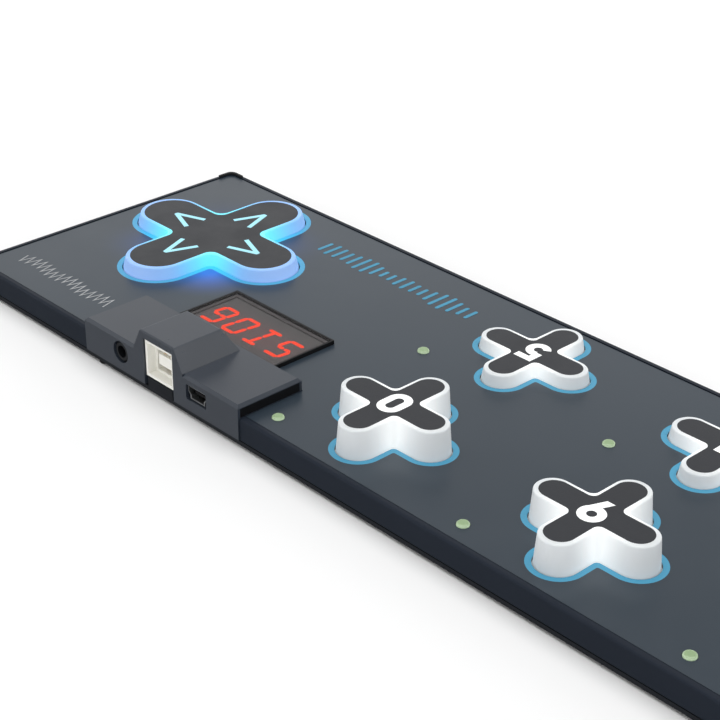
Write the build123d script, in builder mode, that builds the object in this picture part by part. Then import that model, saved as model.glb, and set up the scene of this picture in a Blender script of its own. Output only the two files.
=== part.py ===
from build123d import *
import math
import os

os.makedirs("parts", exist_ok=True)

# Foot-operated rhythm and music controller: a thin board with ten lit keys and a direction pad.
# X runs along the board to the player's right, Y away from the player, Z up from the floor.
# All sizes are in millimetres.

# --- driving dimensions: board ---
LENGTH = 444.5
TRAY_DEPTH = 100.6
EDGE_HEIGHT = 8.0
CORNER_RADIUS = 3.0
GUARD_LENGTH = 6.5
GUARD_WIDTH = 0.9
GUARD_HEIGHT = 0.55
RIM_WIDTH = 1.7
EDGE_ROUNDING = 0.8
PANEL_THICK = 1.2
PANEL_DROP = 0.2
LEDGE_WIDTH = 2.0
LEDGE_THICK = 1.3
BASE_THICK = 1.2
STRIP_HEIGHT = 1.0
BOSS_HEIGHT = 1.5
BOARD_THICK = 1.6

# --- driving dimensions: keys ---
KEY_PITCH = 64.93
KEY_COLUMNS = 5
FIRST_KEY_INSET = 29.3
BACK_ROW = 24.9
FRONT_ROW = 76.8
KEY_REACH = 17.95
KEY_HALF_WIDTH = 5.4
KEY_NOTCH = 1.2
KEY_LEAN = 0.6
KEY_TOP_REACH = KEY_REACH - KEY_LEAN
BACK_RISE = 8.0
FRONT_RISE = 3.4
CAP_MARGIN = 1.3
CAP_NOTCH = 1.8
CAP_THICK = 0.4
KEY_ROUNDING = 0.5
FLANGE_WIDTH = 1.5
FLANGE_THICK = 0.45
KEY_WALL = 2.0
OUTLINE_STROKE = 1.55
OUTLINE_DEPTH = 0.4
NUMERAL_HEIGHT = 10.0
NUMERAL_WIDTH = 6.9
NUMERAL_STROKE = 2.2

# --- driving dimensions: direction pad ---
NAV_INSET = 40.0
NAV_ROW = 61.4
NAV_REACH = 32.5
NAV_HALF_WIDTH = 10.4
NAV_NOTCH = 2.2
NAV_LEAN = 0.9
NAV_TOP_REACH = NAV_REACH - NAV_LEAN
NAV_RISE = 3.45
NAV_CAP_NOTCH = 3.0
NAV_WALL = 3.0
NAV_TRAVEL = 0.5
CHEVRON_APEX = 19.5
CHEVRON_LENGTH = 9.6
CHEVRON_HALF_SPREAD = 3.6
CHEVRON_STROKE = 1.45
BALL_RADIUS = 1.7
BALL_RISE = 0.2
POST_RADIUS = 2.5
GUIDE_WALL = 1.8

# --- driving dimensions: connectors, display and lamps ---
PORT_INSET = 91.75
HOUSING_LENGTH = 66.0
HOUSING_DEPTH = 21.2
HOUSING_RISE = 3.65
HOUSING_PROUD = 0.4
HOUSING_WALL = 1.6
HOUSING_ROOF = 1.3
HOOD_WALL = 1.0
HOUSING_BEVEL = 0.8
SEAL_DEPTH = 0.3
SEAL_MARGIN = 0.25
HOOD_RISE = 10.0
HOOD_TOP_LENGTH = 14.4
HOOD_FOOT_LENGTH = 21.0
HOOD_TOP_DEPTH = 15.5
HOOD_FOOT_DEPTH = 19.1
USB_WIDTH = 12.04
USB_HEIGHT = 11.0
USB_DEPTH = 15.0
USB_PORT_WIDTH = 8.45
USB_PORT_HEIGHT = 7.78
USB_TONGUE_WIDTH = 5.6
USB_TONGUE_HEIGHT = 3.2
USB_PORT_DEPTH = 9.0
USB_MOUTH_WALL = 0.85
USB_MOUTH_DEPTH = 2.6
USB_TONGUE_INSET = 2.0
MINI_OFFSET = -15.9
MINI_WIDTH = 7.7
MINI_HEIGHT = 3.9
MINI_DEPTH = 9.2
MINI_LIFT = 0.75
MINI_SHELL = 0.35
JACK_OFFSET = 16.7
JACK_HEIGHT_ABOVE_BOARD = 2.8
JACK_BORE = 1.8
JACK_FERRULE = 2.9
JACK_DEPTH = 13.0
JACK_BODY_WIDTH = 6.4
DISPLAY_INSET = 91.2
DISPLAY_LENGTH = 41.2
DISPLAY_FRONT = 44.4
DISPLAY_RISE = 1.2
DISPLAY_BORDER = 0.6
WINDOW_THICK = 0.8
CHARACTER_PITCH = 9.13
CHARACTER_WIDTH = 6.3
CHARACTER_HEIGHT = 9.9
CHARACTER_BASELINE = 37.2
CHARACTER_SLANT = 8.0
SEGMENT_STROKE = 1.15
SEGMENT_THICK = 0.2
SHOWN_NUMBER = "5106"
LAMP_X = 24.5
LAMP_Y = 17.2
LAMP_RADIUS = 1.65
LAMP_DOME = 0.7

# --- driving dimensions: fasteners and feet ---
SCREW_RADIUS = 1.0
SCREW_HEAD_RADIUS = 2.0
SCREW_HEAD_DEPTH = 0.9
SCREW_RECESS = 2.2
LUG_SIZE = 7.0
LUG_END_INSET = 9.5
STRIP_WIDTH = 8.0
STRIP_INSET = 23.0
STRIP_END_INSET = 18.0
BUMPER_RADIUS = 1.6
BUMPER_OFFSET = 157.8
BUMPER_INSET = 1.6

# --- clearances ---
PANEL_GAP = 0.35
KEY_GAP = 0.35
FLANGE_GAP = 0.15
HOUSING_GAP = 0.2
SEAM_GAP = 0.3
BOARD_GAP = 1.0
PORT_GAP = 0.3
LAMP_GAP = 0.1
BALL_GAP = 0.3
GUIDE_GAP = 0.3
SCREW_GAP = 0.05
WINDOW_GAP = 0.1
BUMPER_LIFT = 0.05
TAB_SLOT = 0.7

# --- levels above the floor ---
BASE_LOW = STRIP_HEIGHT
BASE_TOP = BASE_LOW + BASE_THICK
WALL_LOW = BASE_TOP + SEAM_GAP
RIM_TOP = BASE_LOW + EDGE_HEIGHT
PANEL_TOP = RIM_TOP - PANEL_DROP
PANEL_LOW = PANEL_TOP - PANEL_THICK
BOARD_LOW = BASE_TOP + BOSS_HEIGHT
BOARD_TOP = BOARD_LOW + BOARD_THICK
PAD_THICK = 0.3
FLANGE_TOP = PANEL_LOW - FLANGE_GAP
FLANGE_LOW = FLANGE_TOP - FLANGE_THICK
HOUSING_TOP = PANEL_TOP + HOUSING_RISE
HOOD_TOP = PANEL_TOP + HOOD_RISE
BALL_HEIGHT = PANEL_TOP + BALL_RISE

# --- places in plan ---
REAR = (TRAY_DEPTH - HOUSING_PROUD) / 2
FRONT = REAR - TRAY_DEPTH
MIDDLE = (REAR + FRONT) / 2
RIGHT = LENGTH / 2
PANEL_INSET = RIM_WIDTH + PANEL_GAP
PORT_X = RIGHT - PORT_INSET
DISPLAY_X = RIGHT - DISPLAY_INSET
NAV_X = RIGHT - NAV_INSET
NAV_Y = REAR - NAV_ROW
HOUSING_REAR = REAR + HOUSING_PROUD
HOUSING_FRONT = REAR - HOUSING_DEPTH
COLUMN_X = [-RIGHT + FIRST_KEY_INSET + KEY_PITCH * i for i in range(KEY_COLUMNS)]
BACK_Y = REAR - BACK_ROW
FRONT_Y = REAR - FRONT_ROW
# The front row reads 1 to 5 and the back row 6 to 9 and 0, from left to right.
KEYS = [((i + 1) % 10, COLUMN_X[i], FRONT_Y, FRONT_RISE) for i in range(KEY_COLUMNS)]
KEYS += [((i + 6) % 10, COLUMN_X[i], BACK_Y, BACK_RISE) for i in range(KEY_COLUMNS)]


def export(builder, label):
    builder.part.label = label
    export_step(builder.part, f"parts/{label}.step")


def plus(reach, half_width, notch):
    """Two crossed full-round bars whose four inner corners are rounded."""
    with BuildSketch() as cross:
        SlotOverall(2 * reach, 2 * half_width)
        SlotOverall(2 * reach, 2 * half_width, rotation=90)
        fillet(cross.vertices().sort_by_distance((0, 0, 0))[:4], notch)
    return cross.sketch_local


def bar(start, end, stroke):
    """A straight stroke with square ends, in the current sketch."""
    with BuildLine(mode=Mode.PRIVATE) as path:
        Line(start, end)
    trace(path.line, stroke)


def bowl(centre, radius, start, sweep, stroke):
    """A round stroke about a centre, in the current sketch."""
    with BuildLine(mode=Mode.PRIVATE) as path:
        CenterArc(centre, radius, start, sweep)
    trace(path.line, stroke)


def disc(centre, radius, mode=Mode.ADD):
    """A round patch, or a round hole, in the current sketch."""
    with Locations(centre):
        Circle(radius, mode=mode)


def numeral(digit):
    """A bold upright digit, centred on the origin."""
    top = NUMERAL_HEIGHT / 2
    wide = NUMERAL_WIDTH / 2
    stroke = NUMERAL_STROKE
    half = stroke / 2
    big = wide - half
    small = 0.83 * big
    low_centre = -top + wide
    high_centre = top - small - half
    with BuildSketch() as figure:
        if digit == 0:
            SlotOverall(2 * top, 2 * wide, rotation=90)
            SlotOverall(2 * (top - stroke), 2 * (wide - stroke), rotation=90, mode=Mode.SUBTRACT)
        if digit == 1:
            bar((half, -top), (half, top), stroke)
            bar((half, top - half), (half - big, top - stroke - half), stroke)
        if digit == 2:
            bowl((0, high_centre), small, -35, 200, stroke)
            reach = math.radians(-35)
            bend = (small * math.cos(reach), high_centre + small * math.sin(reach))
            bar((bend[0] + half * 0.4, bend[1] + half * 0.6), (-big, half - top), stroke)
            bar((-wide, half - top), (wide, half - top), stroke)
        if digit == 3:
            bowl((-half / 3, high_centre), small, -100, 250, stroke)
            bowl((-half / 3, low_centre), big, -150, 250, stroke)
        if digit == 4:
            bar((big / 2, -top), (big / 2, top), stroke)
            bar((-wide, -big), (wide, -big), stroke)
            bar((half - wide, -big), (big / 2, top - half), stroke)
        if digit == 5:
            bar((half - wide, top - half), (big + half / 2, top - half), stroke)
            bar((-big * 0.75, top), (-big * 0.75, 0), stroke)
            bowl((-half / 6, low_centre), big, -150, 270, stroke)
        if digit in (6, 9):
            bar((half * 0.75, top + half), (half * 0.2 - big, low_centre + half * 0.5), stroke)
            disc((0, low_centre), wide)
            disc((0, low_centre), wide - stroke, Mode.SUBTRACT)
        if digit == 7:
            bar((-wide, top - half), (wide, top - half), stroke)
            bar((big, top - half), (-big / 2, -top - half), stroke)
        if digit == 8:
            disc((0, high_centre), small + half)
            disc((0, low_centre), wide)
            disc((0, high_centre), small - half * 0.9, Mode.SUBTRACT)
            disc((0, low_centre), wide - stroke * 0.95, Mode.SUBTRACT)
        Rectangle(2 * NUMERAL_WIDTH, NUMERAL_HEIGHT, mode=Mode.INTERSECT)
    if digit == 9:
        return figure.sketch_local.rotate(Axis.Z, 180)
    return figure.sketch_local


# Outlines shared by the keys, the panel's openings and the printed rings round them.
KEY_BASE = plus(KEY_REACH, KEY_HALF_WIDTH, KEY_NOTCH)
KEY_OPENING = plus(KEY_REACH + KEY_GAP, KEY_HALF_WIDTH + KEY_GAP, KEY_NOTCH)
KEY_FLANGE = plus(KEY_REACH + FLANGE_WIDTH, KEY_HALF_WIDTH + FLANGE_WIDTH, KEY_NOTCH)
KEY_RING = plus(
    KEY_REACH + KEY_GAP + OUTLINE_STROKE, KEY_HALF_WIDTH + KEY_GAP + OUTLINE_STROKE, KEY_NOTCH / 2
)
NAV_BASE = plus(NAV_REACH, NAV_HALF_WIDTH, NAV_NOTCH)
NAV_OPENING = plus(NAV_REACH + KEY_GAP, NAV_HALF_WIDTH + KEY_GAP, NAV_NOTCH)
NAV_RING = plus(
    NAV_REACH + KEY_GAP + OUTLINE_STROKE, NAV_HALF_WIDTH + KEY_GAP + OUTLINE_STROKE, NAV_NOTCH / 2
)
INSET = KEY_LEAN
CAP_OUTLINE = plus(
    KEY_TOP_REACH - CAP_MARGIN, KEY_HALF_WIDTH - INSET - CAP_MARGIN + 0.35, CAP_NOTCH
)
NAV_TOP_INSET = NAV_LEAN
NAV_CAP_OUTLINE = plus(
    NAV_TOP_REACH - CAP_MARGIN, NAV_HALF_WIDTH - NAV_TOP_INSET - CAP_MARGIN + 0.35, NAV_CAP_NOTCH
)


def chevrons():
    """Four arrow heads on the arms, each pointing away from the centre."""
    back = CHEVRON_APEX - CHEVRON_LENGTH
    spread = CHEVRON_HALF_SPREAD
    with BuildSketch() as marks:
        with PolarLocations(0, 4):
            with BuildLine(mode=Mode.PRIVATE) as upper:
                Line((back, spread), (CHEVRON_APEX, 0))
            with BuildLine(mode=Mode.PRIVATE) as lower:
                Line((back, -spread), (CHEVRON_APEX, 0))
            with BuildSketch(mode=Mode.PRIVATE) as arrow:
                trace(upper.line, CHEVRON_STROKE)
                trace(lower.line, CHEVRON_STROKE)
                with Locations((CHEVRON_APEX - CHEVRON_STROKE / 4, 0)):
                    Circle(CHEVRON_STROKE / 2)
            add(arrow.sketch_local)
    return marks.sketch_local


CHEVRONS = chevrons()

# --- base plate: flat floor of the board, with bosses that carry the circuit board ---
LUG_X = [LUG_END_INSET - RIGHT] + [x + KEY_PITCH / 2 for x in COLUMN_X] + [RIGHT - LUG_END_INSET]
LUG_IN = RIM_WIDTH + LUG_SIZE / 2
LUG_POINTS = [(x, FRONT + LUG_IN) for x in LUG_X]
LUG_POINTS += [(x, REAR - LUG_IN) for x in LUG_X if abs(x - PORT_X) > HOUSING_LENGTH / 2 + LUG_SIZE]
HOUSING_POST_RADIUS = 2.6
POST_INSET = HOUSING_WALL + HOUSING_POST_RADIUS + 0.6
POST_SPREAD = HOUSING_LENGTH / 2 - POST_INSET
POST_POINTS = [(PORT_X + side * POST_SPREAD, HOUSING_FRONT + POST_INSET) for side in (-1, 1)]
BOSS_RADIUS = 2.5
BOSS_INSET = 14.0
BOSS_POINTS = [(x + KEY_PITCH / 2, MIDDLE) for x in COLUMN_X[:-1]]
BOSS_POINTS += [(NAV_X + side * NAV_REACH * 0.8, FRONT + BOSS_INSET) for side in (-1, 1)]
BOSS_POINTS += [(-RIGHT + BOSS_INSET, MIDDLE), (RIGHT - BOSS_INSET, REAR - BOSS_INSET)]

with BuildPart() as base_plate:
    with BuildSketch(Plane.XY.offset(BASE_LOW)):
        with Locations((0, MIDDLE)):
            RectangleRounded(LENGTH, TRAY_DEPTH, CORNER_RADIUS)
    extrude(amount=BASE_THICK)
    with BuildSketch(Plane.XY.offset(BASE_TOP)):
        with Locations(*BOSS_POINTS):
            Circle(BOSS_RADIUS)
    extrude(amount=BOSS_HEIGHT)
    with BuildSketch(Plane.XY.offset(BASE_TOP)):
        with Locations((PORT_X, HOUSING_REAR - HOUSING_PROUD - HOUSING_WALL / 2)):
            Rectangle(USB_WIDTH - 2 * TAB_SLOT, HOUSING_WALL)
    extrude(amount=BOARD_TOP - PORT_GAP - BASE_TOP)
    for point in LUG_POINTS + POST_POINTS:
        with BuildSketch(Plane((point[0], point[1], BASE_LOW))):
            Circle(SCREW_RADIUS + SCREW_GAP)
        extrude(amount=BASE_THICK, mode=Mode.SUBTRACT)
        with BuildSketch(Plane((point[0], point[1], BASE_LOW))):
            Circle(SCREW_HEAD_RADIUS + SCREW_GAP)
        extrude(amount=SCREW_HEAD_DEPTH, mode=Mode.SUBTRACT)
export(base_plate, "base_plate")

# --- rim frame: the side walls, the raised rim and the ledge that the panel lies on ---
SCREW_DEPTH = 4.2
with BuildPart() as rim_frame:
    with BuildSketch(Plane.XY.offset(WALL_LOW)):
        with Locations((0, MIDDLE)):
            RectangleRounded(LENGTH, TRAY_DEPTH, CORNER_RADIUS)
            RectangleRounded(
                LENGTH - 2 * RIM_WIDTH,
                TRAY_DEPTH - 2 * RIM_WIDTH,
                CORNER_RADIUS - RIM_WIDTH / 2,
                mode=Mode.SUBTRACT,
            )
    extrude(amount=RIM_TOP - WALL_LOW)
    outer_top = rim_frame.edges().group_by(Axis.Z)[-1]
    outside = [
        edge
        for edge in outer_top
        if abs(edge.center().X) > RIGHT - RIM_WIDTH / 2
        or abs(edge.center().Y - MIDDLE) > TRAY_DEPTH / 2 - RIM_WIDTH / 2
        or edge.geom_type == GeomType.CIRCLE
        and edge.radius > CORNER_RADIUS - RIM_WIDTH / 4
    ]
    fillet(outside, EDGE_ROUNDING)
    with BuildSketch(Plane.XY.offset(PANEL_LOW - LEDGE_THICK)):
        with Locations((0, MIDDLE)):
            Rectangle(LENGTH - 2 * RIM_WIDTH, TRAY_DEPTH - 2 * RIM_WIDTH)
            Rectangle(
                LENGTH - 2 * (RIM_WIDTH + LEDGE_WIDTH),
                TRAY_DEPTH - 2 * (RIM_WIDTH + LEDGE_WIDTH),
                mode=Mode.SUBTRACT,
            )
    extrude(amount=LEDGE_THICK)
    with BuildSketch(Plane.XY.offset(BASE_TOP)):
        with Locations(*LUG_POINTS):
            Rectangle(LUG_SIZE, LUG_SIZE)
    extrude(amount=PANEL_LOW - LEDGE_THICK - BASE_TOP)
    with BuildSketch(Plane.XY.offset(BASE_TOP)):
        with Locations(*LUG_POINTS):
            Circle(SCREW_RADIUS + SCREW_GAP)
    extrude(amount=SCREW_DEPTH - SCREW_HEAD_DEPTH, mode=Mode.SUBTRACT)
    with BuildSketch(Plane.XY.offset(BASE_TOP)):
        with Locations((PORT_X, REAR)):
            Rectangle(HOUSING_LENGTH + 2 * HOUSING_GAP, 4 * (RIM_WIDTH + LEDGE_WIDTH))
    extrude(amount=EDGE_HEIGHT, mode=Mode.SUBTRACT)
export(rim_frame, "rim_frame")

# --- corner guards: four thin rubber lips lying on the flat of the rim ---
with BuildPart() as corner_guards:
    with BuildSketch(Plane.XY.offset(RIM_TOP)):
        with Locations((0, MIDDLE)):
            Rectangle(LENGTH - 2 * (RIM_WIDTH - GUARD_WIDTH), TRAY_DEPTH - 2 * (RIM_WIDTH - GUARD_WIDTH))
            RectangleRounded(
                LENGTH - 2 * (RIM_WIDTH - GUARD_WIDTH),
                TRAY_DEPTH - 2 * (RIM_WIDTH - GUARD_WIDTH),
                CORNER_RADIUS - RIM_WIDTH / 2,
                mode=Mode.INTERSECT,
            )
            RectangleRounded(
                LENGTH - 2 * RIM_WIDTH,
                TRAY_DEPTH - 2 * RIM_WIDTH,
                CORNER_RADIUS - RIM_WIDTH / 2,
                mode=Mode.SUBTRACT,
            )
            with GridLocations(LENGTH, TRAY_DEPTH, 2, 2):
                Rectangle(2 * GUARD_LENGTH, 2 * GUARD_LENGTH, mode=Mode.INTERSECT)
    extrude(amount=GUARD_HEIGHT)
export(corner_guards, "corner_guards")

# --- top panel: flat deck with openings for the keys, the pad, the lamps and the display ---
MODULE_GAP = 0.3
MODULE_INSET = 2.0
MODULE_LENGTH = DISPLAY_LENGTH - 2 * MODULE_INSET
DISPLAY_REAR = HOUSING_FRONT - HOUSING_GAP
DISPLAY_LOW = REAR - DISPLAY_FRONT
DISPLAY_Y = (DISPLAY_REAR + DISPLAY_LOW) / 2
DISPLAY_DEPTH = DISPLAY_REAR - DISPLAY_LOW
MODULE_DEPTH = DISPLAY_DEPTH - 2 * MODULE_INSET
LAMP_POINTS = [(x + LAMP_X, y + LAMP_Y) for _, x, y, _ in KEYS]
KEY_POINTS = [(x, y) for _, x, y, _ in KEYS]

with BuildPart() as top_panel:
    with BuildSketch(Plane.XY.offset(PANEL_LOW)):
        with Locations((0, MIDDLE)):
            RectangleRounded(
                LENGTH - 2 * PANEL_INSET, TRAY_DEPTH - 2 * PANEL_INSET, CORNER_RADIUS - RIM_WIDTH / 2
            )
        with Locations((PORT_X, REAR - HOUSING_DEPTH / 2)):
            Rectangle(
                HOUSING_LENGTH + 2 * HOUSING_GAP, HOUSING_DEPTH + 2 * HOUSING_GAP, mode=Mode.SUBTRACT
            )
        with Locations((DISPLAY_X, DISPLAY_Y)):
            Rectangle(
                MODULE_LENGTH + 2 * MODULE_GAP, MODULE_DEPTH + 2 * MODULE_GAP, mode=Mode.SUBTRACT
            )
        with Locations(*KEY_POINTS):
            add(KEY_OPENING, mode=Mode.SUBTRACT)
        with Locations((NAV_X, NAV_Y)):
            add(NAV_OPENING, mode=Mode.SUBTRACT)
        with Locations(*LAMP_POINTS):
            Circle(LAMP_RADIUS + LAMP_GAP, mode=Mode.SUBTRACT)
    extrude(amount=PANEL_THICK)
    with BuildSketch(Plane.XY.offset(PANEL_TOP)):
        with Locations(*KEY_POINTS):
            add(KEY_RING)
        with Locations((NAV_X, NAV_Y)):
            add(NAV_RING)
    extrude(amount=-OUTLINE_DEPTH, mode=Mode.SUBTRACT)
export(top_panel, "top_panel")

# --- blue outlines: one inlaid ring round each opening ---
with BuildPart() as key_outlines:
    with BuildSketch(Plane.XY.offset(PANEL_TOP - OUTLINE_DEPTH)):
        with Locations(*KEY_POINTS):
            add(KEY_RING)
            add(KEY_OPENING, mode=Mode.SUBTRACT)
    extrude(amount=OUTLINE_DEPTH)
export(key_outlines, "key_outlines")

with BuildPart() as nav_outline:
    with BuildSketch(Plane.XY.offset(PANEL_TOP - OUTLINE_DEPTH)):
        with Locations((NAV_X, NAV_Y)):
            add(NAV_RING)
            add(NAV_OPENING, mode=Mode.SUBTRACT)
    extrude(amount=OUTLINE_DEPTH)
export(nav_outline, "nav_outline")

# --- circuit board, with everything soldered to it ---
BOARD_INSET = RIM_WIDTH + LEDGE_WIDTH + BOARD_GAP
PORT_EDGE = HOUSING_WALL + BOARD_GAP
with BuildPart() as main_board:
    with BuildSketch(Plane.XY.offset(BOARD_LOW)):
        with Locations((0, MIDDLE)):
            Rectangle(LENGTH - 2 * BOARD_INSET, TRAY_DEPTH - 2 * BOARD_INSET)
        with Locations((PORT_X, REAR - PORT_EDGE - BOARD_INSET)):
            Rectangle(HOUSING_LENGTH - 2 * HOUSING_WALL - 2 * BOARD_GAP, 2 * BOARD_INSET)
        with Locations(*LUG_POINTS):
            Rectangle(LUG_SIZE + BOARD_GAP, LUG_SIZE + BOARD_GAP, mode=Mode.SUBTRACT)
        with Locations(*POST_POINTS):
            Circle(HOUSING_POST_RADIUS + BOARD_GAP / 2, mode=Mode.SUBTRACT)
    extrude(amount=BOARD_THICK)
export(main_board, "main_board")

PAD_SIZE = 6.0
PAD_REACH = KEY_REACH * 0.62
NAV_PAD_REACH = NAV_REACH * 0.66
with BuildPart() as sensor_pads:
    with BuildSketch(Plane.XY.offset(BOARD_TOP)):
        with Locations(*KEY_POINTS):
            with PolarLocations(PAD_REACH, 4):
                Rectangle(PAD_SIZE, PAD_SIZE)
        with Locations((NAV_X, NAV_Y)):
            with PolarLocations(NAV_PAD_REACH, 4):
                Rectangle(1.5 * PAD_SIZE, 1.5 * PAD_SIZE)
    extrude(amount=PAD_THICK)
export(sensor_pads, "sensor_pads")

GLOW_CHIP = 1.6
GLOW_HEIGHT = 0.5
GLOW_REACH = KEY_HALF_WIDTH * 0.5
with BuildPart() as key_backlights:
    with BuildSketch(Plane.XY.offset(BOARD_TOP)):
        with Locations(*KEY_POINTS):
            with PolarLocations(GLOW_REACH, 4, start_angle=45):
                Rectangle(GLOW_CHIP, GLOW_CHIP)
        with Locations((NAV_X, NAV_Y)):
            with PolarLocations(NAV_HALF_WIDTH * 0.9, 4, start_angle=45):
                Rectangle(GLOW_CHIP, GLOW_CHIP)
    extrude(amount=GLOW_HEIGHT)
export(key_backlights, "key_backlights")

with BuildPart() as lamp_chips:
    with BuildSketch(Plane.XY.offset(BOARD_TOP)):
        with Locations(*LAMP_POINTS):
            Rectangle(GLOW_CHIP, GLOW_CHIP)
    extrude(amount=GLOW_HEIGHT)
export(lamp_chips, "lamp_chips")

with BuildPart() as lamp_lenses:
    with BuildSketch(Plane.XY.offset(BOARD_TOP + GLOW_HEIGHT)):
        with Locations(*LAMP_POINTS):
            Circle(LAMP_RADIUS)
    extrude(amount=PANEL_TOP + LAMP_DOME - BOARD_TOP - GLOW_HEIGHT)
    fillet(lamp_lenses.edges().group_by(Axis.Z)[-1], LAMP_DOME)
export(lamp_lenses, "lamp_lenses")

CHIP_HEIGHT = 1.0
with BuildPart() as board_chips:
    with BuildSketch(Plane.XY.offset(BOARD_TOP)):
        with Locations((COLUMN_X[-1] + KEY_PITCH / 2, FRONT_Y + 3.0)):
            Rectangle(12.0, 12.0)
        with Locations(*[(x + KEY_PITCH / 2, FRONT_Y) for x in COLUMN_X[:-1]]):
            Rectangle(5.0, 8.0)
        with Locations((PORT_X + POST_SPREAD / 2 - 3.0, REAR - 19.0), (PORT_X - 9.0, REAR - 16.0)):
            Rectangle(3.5, 3.0)
    extrude(amount=CHIP_HEIGHT)
export(board_chips, "board_chips")

# --- keys: a hollow translucent body with a moulded numeral, and a dark cap round the numeral ---
for digit, key_x, key_y, rise in KEYS:
    key_top = PANEL_TOP + rise
    draft = math.degrees(math.atan(INSET / rise))
    figure = numeral(digit)
    with BuildPart() as key_body:
        with BuildSketch(Plane((key_x, key_y, FLANGE_LOW))):
            add(KEY_FLANGE)
        extrude(amount=FLANGE_THICK)
        with BuildSketch(Plane((key_x, key_y, FLANGE_LOW))):
            add(KEY_BASE)
        extrude(amount=PANEL_TOP - FLANGE_LOW)
        with BuildSketch(Plane((key_x, key_y, PANEL_TOP))):
            add(KEY_BASE)
        extrude(amount=rise, taper=draft)
        fillet(key_body.edges().group_by(Axis.Z)[-1], KEY_ROUNDING)
        with BuildSketch(Plane((key_x, key_y, key_top))):
            add(CAP_OUTLINE)
        extrude(amount=-CAP_THICK, mode=Mode.SUBTRACT)
        with BuildSketch(Plane((key_x, key_y, key_top - CAP_THICK))):
            add(figure)
        extrude(amount=CAP_THICK)
        with BuildSketch(Plane((key_x, key_y, FLANGE_LOW))):
            add(plus(KEY_TOP_REACH - KEY_WALL, KEY_HALF_WIDTH - INSET - KEY_WALL, KEY_NOTCH))
        extrude(amount=key_top - CAP_THICK - KEY_WALL - FLANGE_LOW, mode=Mode.SUBTRACT)
    export(key_body, f"key_{digit}")

    with BuildPart() as key_cap:
        with BuildSketch(Plane((key_x, key_y, key_top - CAP_THICK))):
            add(CAP_OUTLINE)
            add(figure, mode=Mode.SUBTRACT)
        extrude(amount=CAP_THICK)
    export(key_cap, f"key_{digit}_cap")

# --- direction pad: it presses down on a post and rocks both ways on a ball ---
NAV_TOP = PANEL_TOP + NAV_RISE
NAV_LOW = PANEL_LOW
SOCKET_RADIUS = BALL_RADIUS + BALL_GAP
BOSS_WALL = 2.5
with BuildPart() as nav_pad:
    with BuildSketch(Plane((NAV_X, NAV_Y, NAV_LOW))):
        add(NAV_BASE)
    extrude(amount=PANEL_TOP - NAV_LOW)
    with BuildSketch(Plane((NAV_X, NAV_Y, PANEL_TOP))):
        add(NAV_BASE)
    extrude(amount=NAV_RISE, taper=math.degrees(math.atan(NAV_TOP_INSET / NAV_RISE)))
    fillet(nav_pad.edges().group_by(Axis.Z)[-1], KEY_ROUNDING)
    with BuildSketch(Plane((NAV_X, NAV_Y, NAV_TOP))):
        add(NAV_CAP_OUTLINE)
    extrude(amount=-CAP_THICK, mode=Mode.SUBTRACT)
    with BuildSketch(Plane((NAV_X, NAV_Y, NAV_LOW))):
        add(plus(NAV_TOP_REACH - NAV_WALL, NAV_HALF_WIDTH - NAV_TOP_INSET - NAV_WALL, NAV_NOTCH))
        Circle(SOCKET_RADIUS + BOSS_WALL, mode=Mode.SUBTRACT)
    extrude(amount=NAV_TOP - CAP_THICK - KEY_WALL - NAV_LOW, mode=Mode.SUBTRACT)
    with Locations((NAV_X, NAV_Y, BALL_HEIGHT)):
        Sphere(SOCKET_RADIUS, mode=Mode.SUBTRACT)
    with BuildSketch(Plane((NAV_X, NAV_Y, NAV_LOW))):
        Circle(SOCKET_RADIUS)
    extrude(amount=BALL_HEIGHT - NAV_LOW, mode=Mode.SUBTRACT)
export(nav_pad, "nav_pad")

with BuildPart() as nav_cap:
    with BuildSketch(Plane((NAV_X, NAV_Y, NAV_TOP - CAP_THICK))):
        add(NAV_CAP_OUTLINE)
        add(CHEVRONS, mode=Mode.SUBTRACT)
    extrude(amount=CAP_THICK)
export(nav_cap, "nav_cap")

with BuildPart() as nav_chevrons:
    with BuildSketch(Plane((NAV_X, NAV_Y, NAV_TOP - CAP_THICK))):
        add(CHEVRONS)
    extrude(amount=CAP_THICK)
export(nav_chevrons, "nav_chevrons")

POST_TOP = BALL_HEIGHT - BALL_RADIUS - BALL_GAP
POST_LOW = BOARD_TOP + NAV_TRAVEL + GUIDE_GAP
GUIDE_TOP = POST_TOP - NAV_TRAVEL
with BuildPart() as nav_ball:
    with Locations((NAV_X, NAV_Y, BALL_HEIGHT)):
        Sphere(BALL_RADIUS)
export(nav_ball, "nav_ball")

with BuildPart() as nav_post:
    with BuildSketch(Plane((NAV_X, NAV_Y, POST_LOW))):
        Circle(POST_RADIUS)
    extrude(amount=POST_TOP - POST_LOW)
export(nav_post, "nav_post")

with BuildPart() as nav_guide:
    with BuildSketch(Plane((NAV_X, NAV_Y, BOARD_TOP))):
        Circle(POST_RADIUS + GUIDE_GAP + GUIDE_WALL)
        Circle(POST_RADIUS + GUIDE_GAP, mode=Mode.SUBTRACT)
    extrude(amount=GUIDE_TOP - BOARD_TOP)
export(nav_guide, "nav_guide")

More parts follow.
